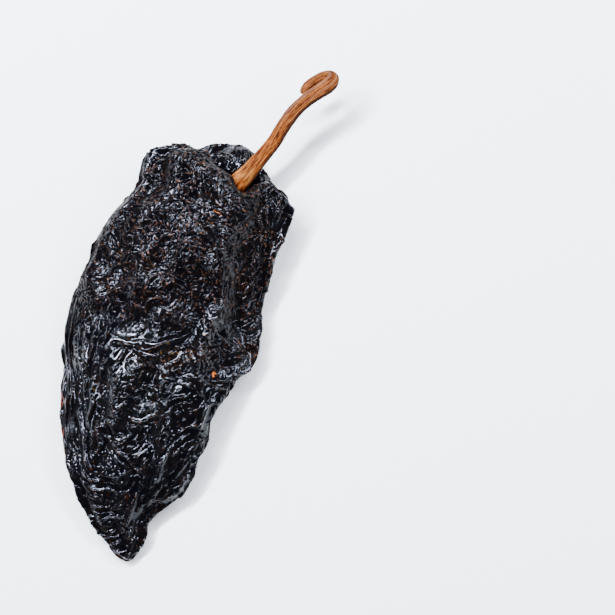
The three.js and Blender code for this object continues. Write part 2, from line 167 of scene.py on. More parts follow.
SKIN_BELTS = ("skin_tip", "skin_lower", "skin_upper", "skin_shoulders")
RELIEF_ROUNDS, SLOPE_ROUNDS, RIM_ROUNDS = 8, 12, 40  # rounds of smoothing that leave each one's form
DUST_LEAST, DUST_MORE, DUST_RISE = 0.4, 0.35, (-24, -8)  # there is more dust towards the right
# Dust darkens the skin's reflection where it is crumpled; painted shade darkens it on steep sides
# and on the long folds of the left edge.
SHADE_SLOPE = (0.35, 0.85)
SHADE_CRUMPLED, SHADE_STEEP, SHADE_EDGE = 0.38, 0.8, 0.4  # how much darker the skin's reflection gets at each
SKIN_COLOURS = {
    "blue_black": (0.0007, 0.0006, 0.0010),
    "brown_black": (0.0013, 0.0010, 0.0011),
    "dusty": (0.0010, 0.0007, 0.0007),
    "worn": (0.024, 0.0105, 0.0055),
    "worn_most": (0.060, 0.0290, 0.0170),
    "ruddy": (0.017, 0.0050, 0.0012),
    "tan": (0.085, 0.0400, 0.0190),
    "amber": (0.038, 0.0190, 0.0022),
    "red": (0.130, 0.0140, 0.0035),
    "bit": (0.300, 0.0760, 0.0120),
}
SKIN_GLOSS = 0.22
# Tints of the skin's reflection: bluish in the open, dark where it is dusty or has painted shade.
OPEN_TINT = (0.82, 0.86, 1.0)
SHADED_TINT = (0.18, 0.16, 0.17)

# The stem: the middle of its wood from foot to curl, measured from the tip of the pod.
STEM_LINE = [
    (3.7, 107.6, 9.0), (4.6, 109.7, 9.6), (5.5, 112.0, 10.4), (7.1, 114.5, 11.4), (8.6, 117.3, 12.2),
    (10.1, 120.2, 13.0), (11.5, 123.0, 13.8), (12.8, 126.0, 14.6), (13.7, 129.1, 15.3), (14.8, 132.0, 16.0),
    (16.0, 134.7, 16.6), (17.5, 137.1, 17.2), (19.6, 139.8, 17.8), (21.7, 142.0, 18.2), (23.5, 143.9, 18.2),
    (24.6, 146.0, 17.2), (23.6, 147.3, 15.4), (21.6, 146.8, 14.2), (20.2, 145.6, 13.6), (18.7, 144.1, 13.4),
    (17.5, 142.5, 13.4), (17.3, 141.0, 13.8),
]
POD_TIP = (3.14, -74.12, 0.0)
STEM_MARKS = 300  # places along the line
STEM_ROUNDS = 30  # rounds of smoothing of the line
WOOD_QUAD = 0.24
WOOD_ROUNDS = 3
# Fields of fibres: how often they swing round the stem, how far they run before they drift, a seed.
BROAD = (range(2, 7), 9.0, 5)
MIDDLE = (range(6, 17), 7.0, 6)
HAIR = (range(18, 34), 5.0, 7)
BROAD_SWELL, GROOVE_DEPTH, LINE_DEPTH, HAIR_SWELL = 0.05, 0.20, 0.08, 0.02
GROOVE_WIDTH, LINE_WIDTH = 0.22, 0.3  # on the scale of a field whose spread is 1
LINE_DARKNESS = 0.7  # beside that of a groove
STREAK = 0.6
FOOT = (1.5, 3.0)  # the relief begins between these distances from the foot
PAINTED_SHADE_FACING = (0.78, -0.62, 0.0)  # the way the stem's lower right side faces, where painted shade darkens it
GRAIN_RADIUS = 2.2
GRAIN_STRETCH = 0.07
WOOD_COLOURS = {
    "red_brown": (0.122, 0.0270, 0.0030),
    "light_brown": (0.220, 0.0700, 0.0150),
    "pale_foot": (0.420, 0.1750, 0.0420),
    "grey_curl": (0.160, 0.0600, 0.0200),
    "pale_fibre": (0.290, 0.1250, 0.0400),
    "dark_fibre": (0.022, 0.0034, 0.0002),
    "speck": (0.036, 0.0064, 0.0005),
    "mottle": (0.058, 0.0110, 0.0007),
    "groove": (0.030, 0.0048, 0.0003),
    # painted shade on the stem's lower right side
    "painted_shade_side": (0.022, 0.0036, 0.0003),
    "grey_band": (0.080, 0.0450, 0.0360),
    "burnt_foot": (0.125, 0.0200, 0.0003),
    "black_foot": (0.014, 0.0022, 0.0003),
}
WOOD_GLOSS = 0.04

# Floor, lights and camera, in metres and degrees. A light's angle goes round the picture, 0 at its
# right side and 90 at its top. Its brightness is what a mirror would show.
FLOOR_REACH = 3
FLOOR_WHITE = (0.9, 0.9, 0.9, 1)
SKY_COLOUR = (0.9, 0.93, 1.0, 1)
SKY_STRENGTH = 0.11
ARC_COLOUR = (0.84, 0.89, 1.0)
ARC_DISTANCE = 0.9
ARCS = [  # angle, elevation, width, height and brightness
    (195, 58, 0.46, 0.06, 10),
    (165, 58, 0.46, 0.06, 85),
    (135, 58, 0.46, 0.06, 300),
    (105, 58, 0.46, 0.06, 185),
    (48, 50, 0.40, 0.07, 125),
    (10, 46, 0.40, 0.07, 70),
]
PANEL_COLOUR = (0.90, 0.93, 1.0)
PANEL_ANGLES = range(15, 375, 60)
PANEL_DISTANCE = 1.0
PANEL_ELEVATION = 20
PANEL_SIZE = (0.6, 0.6)
PANEL_BRIGHTNESS = 0.45
CAMERA_PLACE = (0.0362, 0.0083, 0.592)
NEAREST_SEEN = 0.05
LENS, SENSOR = 120, 36  # in millimetres

# Meshes as arrays.


def arrays_of(mesh):
    """A mesh's points in millimetres, and the corners of its faces in one row."""
    points = np.empty(len(mesh.vertices) * 3, np.float32)
    mesh.vertices.foreach_get("co", points)
    corners = np.empty(len(mesh.loops), np.int32)
    mesh.loops.foreach_get("vertex_index", corners)
    return points.reshape(-1, 3).astype(np.float64) / MM, corners


def ramp(low, high, x):
    """0 below low and 1 above high, with a smooth rise between them."""
    t = np.clip((x - low) / (high - low), 0, 1)
    return t * t * (3 - 2 * t)


def links(faces, count):
    """Each point's neighbours along edges and across faces.

    Points are ranked by how many neighbours they have. Column k lists neighbour number k of every
    point that has so many, which are then simply the first ones. Returns the ranking, the number
    of neighbours and the columns."""
    sides = [(0, 1), (1, 2), (2, 3), (3, 0), (0, 2), (1, 3)]
    pairs = np.concatenate([faces[:, side] for side in sides])
    pairs = np.concatenate([pairs, pairs[:, ::-1]]).astype(np.int64)
    keys = np.unique(pairs[:, 0] * count + pairs[:, 1])
    degree = np.bincount(keys // count, minlength=count)
    order = np.argsort(-degree, kind="stable")
    rank = np.empty(count, np.int64)
    rank[order] = np.arange(count)
    keys = np.sort(rank[keys // count] * count + rank[keys % count])
    degree = degree[order]
    number = np.arange(len(keys)) - (np.cumsum(degree) - degree)[keys // count]
    columns = [(keys % count)[number == k] for k in range(degree[0])]
    return order, degree.astype(np.float32), columns


def mean_offset(values, degree, columns):
    """For each point, how far the mean of its neighbours lies from it."""
    total = np.zeros_like(values)
    for column in columns:
        total[: len(column)] += values[column] - values[: len(column)]
    return total / degree.reshape((-1,) + (1,) * (values.ndim - 1))


def smoothed(values, faces, rounds):
    """Values at the points of a mesh, blended with their neighbours' so many times."""
    order, degree, columns = links(faces, len(values))
    ranked = values[order]
    for _ in range(rounds):
        ranked = ranked + 0.5 * mean_offset(ranked, degree, columns)
    blended = np.empty_like(ranked)
    blended[order] = ranked
    return blended


def point_normals(points, faces):
    """Unit normals, from the diagonals of each point's faces."""
    a, b, c, d = (points[faces[:, k]] for k in range(4))
    across = np.cross(c - a, d - b)
    normals = np.stack(
        [np.bincount(faces.ravel(), np.repeat(across[:, k], 4), len(points)) for k in range(3)], axis=1
    )
    return normals / np.maximum(np.linalg.norm(normals, axis=1), 1e-12)[:, None]


def with_modifier(mesh, kind, **settings):
    """The points and quads of a mesh after one modifier."""
    helper = bpy.data.objects.new("helper", mesh)
    bpy.context.scene.collection.objects.link(helper)
    modifier = helper.modifiers.new("change", kind)
    for name, value in settings.items():
        setattr(modifier, name, value)
    points, corners = arrays_of(helper.evaluated_get(bpy.context.evaluated_depsgraph_get()).to_mesh())
    bpy.data.objects.remove(helper)
    return points, corners.reshape(-1, 4)


def remeshed(mesh, voxel):
    """A closed mesh as even quads of about the voxel's size, in millimetres.

    The mesh is turned before and turned back after, so that rows of quads don't follow its axes."""
    turn = Euler(REMESH_TURN).to_matrix()
    mesh = mesh.copy()
    mesh.transform(turn.to_4x4())
    points, faces = with_modifier(mesh, "REMESH", mode="VOXEL", voxel_size=voxel * MM)
    return points @ np.array(turn), faces


def refined(points, faces):
    """Each quad cut into four, with the points rounded as on a subdivision surface."""
    mesh = bpy.data.meshes.new("coarse")
    mesh.from_pydata((points * MM).tolist(), [], faces.tolist())
    return with_modifier(mesh, "SUBSURF", levels=1)


def new_mesh(name, points, faces, values):
    """A smooth-shaded mesh from millimetres, with named numbers or vectors at each of its points."""
    mesh = bpy.data.meshes.new(name)
    mesh.from_pydata((points * MM).tolist(), [], faces.tolist())
    mesh.shade_smooth()
    for key, value in values.items():
        kind, field = ("FLOAT_VECTOR", "vector") if value.ndim == 2 else ("FLOAT", "value")
        attribute = mesh.attributes.new(key, kind, "POINT")
        attribute.data.foreach_set(field, value.astype(np.float32).ravel())
    return mesh


# The places on the pod.


def beyond(line, points):
    """How far each point lies to the left of a line from one place to another, seen from above."""
    (ax, ay), (bx, by) = line
    length = math.hypot(bx - ax, by - ay)
    return ((bx - ax) * (points[:, 1] - ay) - (by - ay) * (points[:, 0] - ax)) / length


def calm(points):
    """1 on the smooth parts of the pod's top: its left lobe, and the hollow with the lobe behind it."""
    lobe = ramp(*LOBE_FADE, beyond(LOBE_CREASE, points)) * ramp(*LOBE_FOOT, points[:, 1])
    hollow = ramp(*HOLLOW_FADE, beyond(HOLLOW_RIM, points)) * (1 - ramp(*HOLLOW_HEIGHT, points[:, 2]))
    return np.maximum(lobe, hollow)


def crumple(points):
    """How finely the skin is crumpled at each point: 1 in the upper half, 0 in the lower half."""
    height = points[:, 1] - CRUMPLE_LEAN * points[:, 0]
    return ramp(*CRUMPLE_FADE, height) * (1 - calm(points))


def tab(points, normals):
    """How far the small flat tab on the lower right stands out, and 1 where it is."""
    turn = math.radians(TAB["turn"])
    offset = points[:, :2] - TAB["middle"]
    along = np.abs(offset @ (math.cos(turn), math.sin(turn))) - TAB["length"] / 2
    across = offset @ (math.sin(turn), -math.cos(turn)) + TAB["width"] / 2
    there = (1 - ramp(*TAB_END_FADE, along)) * (1 - ramp(*TAB_RIM_FADE, across - TAB["width"]))
    there = there * ramp(0, 0.5, normals[:, 2])
    height = TAB["height"] * np.clip(across / TAB["width"], 0, 1) * there
    return height, there * ramp(*TAB_FOOT_FADE, across)


def edge_folds(points):
    """The long folds side by side along the left edge: a wave from -1 to 1, and 1 where they are."""
    away = np.full(len(points), np.inf)
    for start, end in zip(EDGE_PATH, EDGE_PATH[1:]):
        step = np.subtract(end, start)
        t = np.clip((points[:, :2] - start) @ step / (step @ step), 0, 1)
        gap = np.linalg.norm(points[:, :2] - start - t[:, None] * step, axis=1)
        side = np.sign(beyond((end, start), points))
        away = np.where(gap < np.abs(away), side * gap, away)
    swerve = 0.55 * np.sin(points[:, 1] / 5.1 + 0.7) + 0.35 * np.sin(points[:, 1] / 2.7 + points[:, 0] / 4)
    wave = np.cos(2 * np.pi * (away + swerve) / EDGE_SPACING)
    there = ramp(*EDGE_OUTER, away) * (1 - ramp(*EDGE_INNER, away))
    there *= ramp(*EDGE_LOW, points[:, 1]) * (1 - ramp(*EDGE_HIGH, points[:, 1]))
    return wave, there


def spots(points, normals, places):
    """1 at the listed places of the upper face, falling off to 0 at about twice the radius."""
    near = np.zeros(len(points))
    for x, y, radius in places:
        distance = (points[:, 0] - x) ** 2 + (points[:, 1] - y) ** 2
        near = np.maximum(near, np.exp(-distance / radius**2))
    return near * ramp(0, 0.3, normals[:, 2])


def red_rim(points, form):
    """1 where the thin edge lets red light through: in places along the left side, and at the tip.

    form is the normals of the pod without its wrinkles."""
    rim = ramp(-0.04, 0.06, form[:, 2]) * (1 - ramp(0.30, 0.55, form[:, 2]))
    left = np.zeros(len(points))
    for low, high in RED_STRETCHES:
        begun = ramp(low - RED_FADE, low, points[:, 1])
        left += begun * (1 - ramp(high, high + RED_FADE, points[:, 1]))
    left *= ramp(0.4, 0.7, -form[:, 0]) * (1 - ramp(*RED_LEFT, points[:, 0]))
    tip = RED_TIP_SHARE * (1 - ramp(*RED_TIP, points[:, 1]))
    return rim * np.clip(left + tip, 0, 1)


# The wrinkling of the skin.


def wander(points, lengths, turn, seed):
    """An angle that drifts over the skin, for the folds that no path is drawn for."""
    rng = np.random.default_rng(seed)
    angle = np.zeros(len(points))
    for _ in range(WANDER_WAVES):
        wave = rng.normal(size=3)
        wave *= 2 * np.pi / (rng.uniform(*lengths) * np.linalg.norm(wave))
        angle += turn * np.sin(points @ wave + rng.uniform(0, 2 * np.pi))
    return angle


def fold_directions(points, normals):
    """The way that the folds run at each point, as a unit vector, and how sure it is, from 0 to 1."""
    upward = ramp(0.1, 0.6, normals[:, 2])
    fine = crumple(points)
    turned = (1 - fine) * WANDER_SURE[0] * np.exp(2j * wander(points, *WANDER_LOWER))
    turned += fine * WANDER_SURE[1] * np.exp(2j * wander(points, *WANDER_UPPER))
    for path, reach in FOLD_PATHS:
        for (ax, ay), (bx, by) in zip(path, path[1:]):
            step = np.array([bx - ax, by - ay])
            offset = points[:, :2] - (ax, ay)
            t = np.clip(offset @ step / (step @ step), 0, 1)
            away = np.linalg.norm(offset - t[:, None] * step, axis=1)
            turned += upward * np.exp(-((away / reach) ** 2)) * np.exp(2j * math.atan2(step[1], step[0]))
    drawn = np.sqrt(turned)  # half the angle: a fold has a line to run along and no front or back
    run = np.stack([drawn.real, drawn.imag, np.zeros(len(points))], axis=1) * np.abs(drawn)[:, None]
    rim = np.stack([-normals[:, 1], normals[:, 0], np.zeros(len(points))], axis=1)
    rim *= np.where((rim * run).sum(axis=1) < 0, -1, 1)[:, None]
    at_rim = (1 - ramp(0.25, 0.75, np.abs(normals[:, 2]))) * (1 - ramp(*RIM_HEIGHT, points[:, 2]))
    run += RIM_PULL * at_rim[:, None] * rim
    run[:, 1] -= UNDERSIDE_PULL * ramp(0.2, 0.8, -normals[:, 2])
    run -= (run * normals).sum(axis=1)[:, None] * normals
    size = np.linalg.norm(run, axis=1)
    return run / np.maximum(size, 1e-6)[:, None], np.clip(size, 0, 1)


def thickness(points, faces, normals):
    """How thick the body is under each point, in millimetres."""
    tree = BVHTree.FromPolygons(points.tolist(), faces)
    inside = (points - 0.02 * normals).tolist()
    inward = (-normals).tolist()
    depths = [tree.ray_cast(place, way, PROBE)[3] for place, way in zip(inside, inward)]
    return np.array([PROBE if depth is None else depth for depth in depths])


def body_surface(pod):
    """The pod's form as even quads, with thin edges filled out, no facets and no steep high steps."""
    source = pod.data.copy()
    points, _ = arrays_of(source)
    normals = np.array([v.normal for v in source.vertices])
    thick = thickness(points, [tuple(p.vertices) for p in source.polygons], normals)
    points += 0.5 * np.maximum(MIN_THICK - thick, 0)[:, None] * normals
    points[:, 2] = np.maximum(points[:, 2], 0)
    source.vertices.foreach_set("co", (points * MM).ravel())
    source.update()
    body, faces = remeshed(source, COARSE)
    rounded = smoothed(body, faces, FORM_ROUNDS)
    body = rounded + smoothed(body - rounded, faces, FORM_ROUNDS)  # gives back what smoothing shrank
    body[:, 2] = np.maximum(body[:, 2], 0)
    steep = 1 - ramp(*STEP_SLOPE, point_normals(smoothed(body, faces, FORM_ROUNDS), faces)[:, 2])
    steep *= ramp(*STEP_HEIGHT, body[:, 2]) * crumple(body) * (1 - ramp(*STEP_END, body[:, 1]))
    share = smoothed(steep, faces, STEP_BLEND)
    return body + share[:, None] * (smoothed(body, faces, SLUMP_ROUNDS) - body), faces


def buckle(base, start, faces, growth, across, one_way, firmness, give, stiffness, steps):
    """Lets a skin that has grown too large for the body under it fall into wrinkles.

    base is the body's surface and start is where the skin is at first. growth is how much longer
    each part of the skin wants to be than the body under it. one_way is the share of it that acts
    only along the vectors in across, which lie square to the folds. firmness is how hard the body
    holds the skin where it is pressed in, pulled out and pulled along. A skin that stands out by
    more than give comes loose, so it gathers in narrow ridges and lies flat between them."""
    order, degree, columns = links(faces, len(base))
    single = np.float32
    normals = point_normals(base, faces)
    fields = (base, start, normals, growth, across, one_way, give, stiffness, *firmness)
    ranked = [v[order].astype(single) for v in fields]
    anchor, x, normal, growth, across, one_way, give, stiffness, *firmness = ranked
    pressed_in, pulled_out, pulled_along = firmness
    rests = []
    for column in columns:
        k = len(column)
        edge = anchor[column] - anchor[:k]
        plain = np.linalg.norm(edge, axis=1)
        lean = (edge * across[:k]).sum(axis=1) / plain
        turn = (1 - one_way[:k]) + 1.5 * one_way[:k] * lean**2
        rests.append(plain * (1 + 0.5 * (growth[:k] + growth[column]) * turn))
    resting_bend = mean_offset(anchor, degree, columns)
    speed = np.zeros_like(x)
    for _ in range(steps):
        force = np.zeros_like(x)
        total = np.zeros_like(x)
        for column, rest in zip(columns, rests):
            k = len(column)
            edge = x[column] - x[:k]
            pull = 1 - rest / np.sqrt(np.einsum("ij,ij->i", edge, edge))
            total[:k] += edge
            force[:k] += edge * pull[:, None]
        bend = stiffness[:, None] * (total / degree[:, None] - resting_bend)
        force -= mean_offset(bend, degree, columns)
        away = x - anchor
        out = np.einsum("ij,ij->i", away, normal)
        slide = away - out[:, None] * normal
        hold = np.where(out < 0, pressed_in, pulled_out / (1 + (out / give) ** 2)) * out
        force -= hold[:, None] * normal + pulled_along[:, None] * slide
        speed = single(DAMPING) * (speed + single(TIME_STEP) * force)
        x = x + speed
        np.maximum(x[:, 2], 0, out=x[:, 2])
    moved = np.empty_like(base)
    moved[order] = x
    return moved


def wrinkled(base, faces, fine, level):
    """The surface after a skin on it has grown and buckled. fine is 1 where the skin is crumpled."""

    def zoned(pair):
        return pair[0] * (1 - fine) + pair[1] * fine

    normals = point_normals(base, faces)
    run, sure = fold_directions(base, normals)
    room = ramp(*GROWN_THICK, thickness(base, faces.tolist(), normals))
    at_rim = (1 - ramp(0.1, 0.6, np.abs(normals[:, 2]))) * (1 - fine)
    room *= (1 - RIM_CALM * at_rim) * (1 - TOP_CALM * calm(base))
    if level["refine"]:
        wave, at_edge = edge_folds(base)
        wave *= at_edge * room
        base = base + EDGE_DEPTH * wave[:, None] * normals
        room *= 1 - EDGE_CALM * at_edge
    else:
        base = base + tab(base, normals)[0][:, None] * (0, 0, 1)
    normals = point_normals(base, faces)
    room *= 1 - TAB_CALM * tab(base, normals)[1]
    noise = np.random.default_rng(level["seed"]).normal(size=len(base))
    noise = smoothed(noise, faces, level["blur"])
    return buckle(
        base,
        base + level["kick"] * (noise / noise.std())[:, None] * normals,
        faces,
        growth=zoned(level["growth"]) * room,
        across=np.cross(normals, run),
        one_way=zoned(level["one_way"]) * sure,
        firmness=[zoned(pair) for pair in level["firmness"]],
        give=zoned(level["give"]),
        stiffness=zoned(level["stiffness"]),
        steps=level["steps"],
    )


def ridged(points, faces):
    """The skin with its lower wrinkles drawn up into narrow ridges and flattened between them."""
    near = smoothed(points, faces, RIDGE_ROUNDS[0])
    far = smoothed(near, faces, RIDGE_ROUNDS[1] - RIDGE_ROUNDS[0])
    plain = near + RIDGE_FLATTEN * (far - near)
    normals = point_normals(near, faces)
    relief = ((points - near) * normals).sum(axis=1)
    ridge = plain + (RIDGE_HEIGHT * ramp(*RIDGE_BAND, relief))[:, None] * normals
    ridge[:, 2] = np.maximum(ridge[:, 2], 0)
    share = (1 - crumple(points)) * ramp(-0.2, 0.2, normals[:, 2])
    share = share * (1 - RIDGE_EDGE_CALM * edge_folds(points)[1])
    return points + share[:, None] * (ridge - points)


def make_skin(pod):
    """The pod's wrinkled skin: broad folds on a coarse mesh, fine ones on a finer mesh, then ridges."""
    skin, faces = body_surface(pod)
    for level in LEVELS:
        if level["refine"]:
            skin, faces = refined(skin, faces)
        fine = crumple(skin)
        skin = wrinkled(skin, faces, fine, level)
    skin = skin + ((1 - fine) * SOFTEN)[:, None] * (smoothed(skin, faces, 1) - skin)
    return ridged(skin, faces), faces


def skin_values(points, faces, normals):
    """What the skin's material knows about each point."""
    x, y = points[:, 0], points[:, 1]
    fine = crumple(points)
    flap = ramp(*FLAP_LEFT, x) * ramp(*FLAP_LOW, y) * (1 - ramp(*FLAP_HIGH, y))
    dust = fine * (DUST_LEAST + DUST_MORE * ramp(*DUST_RISE, x)) + flap
    # shade: dullness of the dusty crumpled skin, and painted shade on steep sides and the left edge's folds
    steep = 1 - ramp(*SHADE_SLOPE, point_normals(smoothed(points, faces, SLOPE_ROUNDS), faces)[:, 2])
    shade = SHADE_CRUMPLED * fine + SHADE_STEEP * steep + SHADE_EDGE * edge_folds(points)[1]
    return {
        "relief": ((points - smoothed(points, faces, RELIEF_ROUNDS)) * normals).sum(axis=1),
        "dust": np.clip(dust, 0, 1),
        "red": red_rim(points, point_normals(smoothed(points, faces, RIM_ROUNDS), faces)),
        "amber": spots(points, normals, AMBER),
        "tan": spots(points, normals, TAN),
        "bits": spots(points, normals, BITS),
        "shade": np.clip(shade, 0, 1),
    }


def belts(names, points, faces, normals, values):
    """The skin as several meshes side by side along the pod, each with as many faces as the next.

    They share the points on their borders and keep the whole skin's normals, so no border shows."""
    middle = points[faces][:, :, 1].mean(axis=1)
    belt = np.searchsorted(np.quantile(middle, np.arange(1, len(names)) / len(names)), middle)
    meshes = []
    for k, name in enumerate(names):
        used, corners = np.unique(faces[belt == k], return_inverse=True)
        own_values = {key: value[used] for key, value in values.items()}
        mesh = new_mesh(name, points[used], corners.reshape(-1, 4), own_values)
        mesh.normals_split_custom_set_from_vertices(normals[used].tolist())
        meshes.append(mesh)
    return meshes


# The stem.


def stem_places(points):
    """How far along the stem's line each point lies, in millimetres, and at which angle round it."""
    line = np.array(STEM_LINE) + POD_TIP
    far = np.concatenate([[0], np.cumsum(np.linalg.norm(np.diff(line, axis=0), axis=1))])
    marks = np.linspace(0, far[-1], STEM_MARKS)
    line = np.stack([np.interp(marks, far, line[:, k]) for k in range(3)], axis=1)
    for _ in range(STEM_ROUNDS):
        line[1:-1] = 0.5 * line[1:-1] + 0.25 * (line[:-2] + line[2:])
    tangents = np.gradient(line, axis=0)
    tangents /= np.linalg.norm(tangents, axis=1)[:, None]
    side = np.cross(tangents[0], (0, 0, 1.0))
    sides = []
    for tangent in tangents:
        side = side - (side @ tangent) * tangent
        side = side / np.linalg.norm(side)
        sides.append(side)
    sides = np.array(sides)
    others = np.cross(tangents, sides)
    distance = (points**2).sum(axis=1)[:, None] - 2 * points @ line.T + (line**2).sum(axis=1)[None, :]
    nearest = np.argmin(distance, axis=1)
    offset = points - line[nearest]
    angle = np.arctan2((offset * others[nearest]).sum(axis=1), (offset * sides[nearest]).sum(axis=1))
    return marks[nearest], angle


def fibres(distance, angle, waves, drift, seed):
    """A random field round and along the stem, drawn out lengthwise, with a spread of 1."""
    rng = np.random.default_rng(seed)
    knots = np.arange(-drift, distance.max() + 2 * drift, drift)
    field = np.zeros(len(distance))
    for wave in waves:
        phases = rng.uniform(0, 2 * np.pi) + np.cumsum(rng.normal(0, 0.8, len(knots)))
        phase = np.interp(distance, knots, phases)
        size = np.interp(distance, knots, rng.uniform(0.3, 1.0, len(knots)))
        field += size * np.cos(wave * angle + phase)
    return field / field.std()


def make_wood(stem):
    """The stem's mesh, with grooves, lines and fibres along it as relief."""
    points, faces = remeshed(stem.data, WOOD_QUAD)
    points = smoothed(points, faces, WOOD_ROUNDS)
    distance, angle = stem_places(points)
    broad, middle, hair = (fibres(distance, angle, *field) for field in (BROAD, MIDDLE, HAIR))
    grooves = np.exp(-((broad / GROOVE_WIDTH) ** 2))
    lines = np.exp(-((middle / LINE_WIDTH) ** 2))
    relief = BROAD_SWELL * broad - GROOVE_DEPTH * grooves - LINE_DEPTH * lines + HAIR_SWELL * hair
    normals = point_normals(points, faces)
    points = points + (ramp(*FOOT, distance) * relief)[:, None] * normals
    round_grain = [GRAIN_RADIUS * np.cos(angle), GRAIN_RADIUS * np.sin(angle), GRAIN_STRETCH * distance]
    return new_mesh("woody_stem", points, faces, {
        "groove": np.maximum(grooves, LINE_DARKNESS * lines),
        "streak": STREAK * middle + STREAK * hair,
        "band": broad,
        "distance": distance,
        # how much a point faces the lower right, where shade is painted
        "painted_shade_side": ramp(0.35, 0.95, normals @ PAINTED_SHADE_FACING),
        "grain": np.stack(round_grain, axis=1),
    })


# Materials.


class Nodes:
    """A material's nodes, made one after the other and joined as they are made."""

    def __init__(self, name):
        self.material = bpy.data.materials.new(name)
        self.material.use_nodes = True
        self.tree = self.material.node_tree
        self.bsdf = self.tree.nodes["Principled BSDF"]

    def put(self, socket, value):
        """Joins a socket to another's output, or sets its number or colour."""
        if isinstance(value, bpy.types.NodeSocket):
            self.tree.links.new(value, socket)
        elif socket.type == "RGBA":
            socket.default_value = (*value, 1.0)
        else:
            socket.default_value = value

    def attribute(self, name, kind="Fac"):
        """What the mesh says about each point under a name."""
        node = self.tree.nodes.new("ShaderNodeAttribute")
        node.attribute_name = name
        return node.outputs[kind]

    def noise(self, size, detail, rough, distortion=0.0, grain=None):
        """A noise from 0 to 1 whose patches are about so many millimetres large."""
        node = self.tree.nodes.new("ShaderNodeTexNoise")
        if grain is None:
            place = self.tree.nodes.new("ShaderNodeTexCoord").outputs["Object"]
            scale = 1 / (size * MM)
        else:
            place = grain
            scale = 1 / size
        self.put(node.inputs["Vector"], place)
        node.inputs["Scale"].default_value = scale
        node.inputs["Detail"].default_value = detail
        node.inputs["Roughness"].default_value = rough
        node.inputs["Distortion"].default_value = distortion
        return node.outputs["Fac"]

    def ranged(self, value, low, high, to_low=0.0, to_high=1.0):
        """A value's way from low to high, turned smoothly into the way from to_low to to_high."""
        node = self.tree.nodes.new("ShaderNodeMapRange")
        node.interpolation_type = "SMOOTHSTEP"
        self.put(node.inputs["Value"], value)
        node.inputs["From Min"].default_value = low
        node.inputs["From Max"].default_value = high
        node.inputs["To Min"].default_value = to_low
        node.inputs["To Max"].default_value = to_high
        return node.outputs["Result"]

    def math(self, operation, a, b):
        """Two values put together as the operation says."""
        node = self.tree.nodes.new("ShaderNodeMath")
        node.operation = operation
        self.put(node.inputs[0], a)
        self.put(node.inputs[1], b)
        return node.outputs[0]

    def blend(self, share, a, b):
        """Colour a where share is 0 and colour b where it is 1."""
        node = self.tree.nodes.new("ShaderNodeMix")
        node.data_type = "RGBA"
        self.put(node.inputs["Factor"], share)
        self.put(node.inputs["A"], a)
        self.put(node.inputs["B"], b)
        return node.outputs["Result"]

    def bump(self, height, depth):
        """Bends the surface as if height, from 0 to 1, stood out by so many millimetres."""
        node = self.tree.nodes.new("ShaderNodeBump")
        node.inputs["Distance"].default_value = depth * MM
        self.put(node.inputs["Height"], height)
        return node.outputs["Normal"]


def skin_material():
    """Black, glossy skin, rubbed brown on its crests, dustier and duller where it is crumpled, with painted
    shade darkening its reflection on steep sides and the left edge's folds.
    """
    n = Nodes("skin")
    colours = SKIN_COLOURS
    relief, dust, shade = n.attribute("relief"), n.attribute("dust"), n.attribute("shade")
    patches = n.noise(5.0, detail=4.0, rough=0.6, distortion=0.6)
    flecks = n.noise(1.1, detail=3.0, rough=0.6)
    broken = n.noise(0.6, detail=4.0, rough=0.7)
    clouds = n.noise(2.5, detail=4.0, rough=0.65)
    crumbs = n.noise(0.3, detail=3.0, rough=0.7)
    pores = n.noise(0.45, detail=2.0, rough=0.5)
    colour = n.blend(n.ranged(patches, 0.45, 0.62), colours["blue_black"], colours["brown_black"])
    dusty = n.math("MULTIPLY", dust, n.ranged(clouds, 0.4, 0.7, 0.5, 1.2))
    colour = n.blend(dusty, colour, colours["dusty"])
    crest = n.math("MULTIPLY", n.ranged(relief, 0.04, 0.20), n.ranged(dust, 0.0, 0.6, 0.35, 1.0))
    worn = n.math("MULTIPLY", crest, n.ranged(flecks, 0.48, 0.60))
    colour = n.blend(worn, colour, colours["worn"])
    ruddy = n.math("MULTIPLY", n.ranged(flecks, 0.30, 0.42, 1, 0), n.ranged(patches, 0.5, 0.6))
    colour = n.blend(ruddy, colour, colours["ruddy"])
    worn_most = n.math("MULTIPLY", crest, n.ranged(flecks, 0.57, 0.66))
    colour = n.blend(worn_most, colour, colours["worn_most"])
    tan = n.math("MULTIPLY", n.attribute("tan"), n.ranged(broken, 0.55, 0.66, 0.0, 0.8))
    colour = n.blend(tan, colour, colours["tan"])
    amber = n.ranged(n.math("ADD", n.attribute("amber"), broken), 1.2, 1.4, 0.0, 0.85)
    colour = n.blend(amber, colour, colours["amber"])
    red = n.math("MULTIPLY", n.attribute("red"), n.ranged(broken, 0.40, 0.56))
    colour = n.blend(red, colour, colours["red"])
    bits = n.ranged(n.math("ADD", n.attribute("bits"), crumbs), 1.12, 1.24)
    n.put(n.bsdf.inputs["Base Color"], n.blend(bits, colour, colours["bit"]))
    rough = n.ranged(n.math("ADD", dust, n.math("MULTIPLY", patches, 0.5)), 0.2, 1.2, 0.10, 0.16)
    n.put(n.bsdf.inputs["Roughness"], n.math("ADD", rough, n.ranged(shade, 0.4, 1.0, 0.0, 0.22)))
    n.bsdf.inputs["Specular IOR Level"].default_value = SKIN_GLOSS
    # The reflection's tint: darker for dust, and for painted shade on steep sides and the left edge's
    # folds.
    n.put(n.bsdf.inputs["Specular Tint"], n.blend(shade, OPEN_TINT, SHADED_TINT))
    n.put(n.bsdf.inputs["Normal"], n.bump(pores, 0.006))
    return n.material


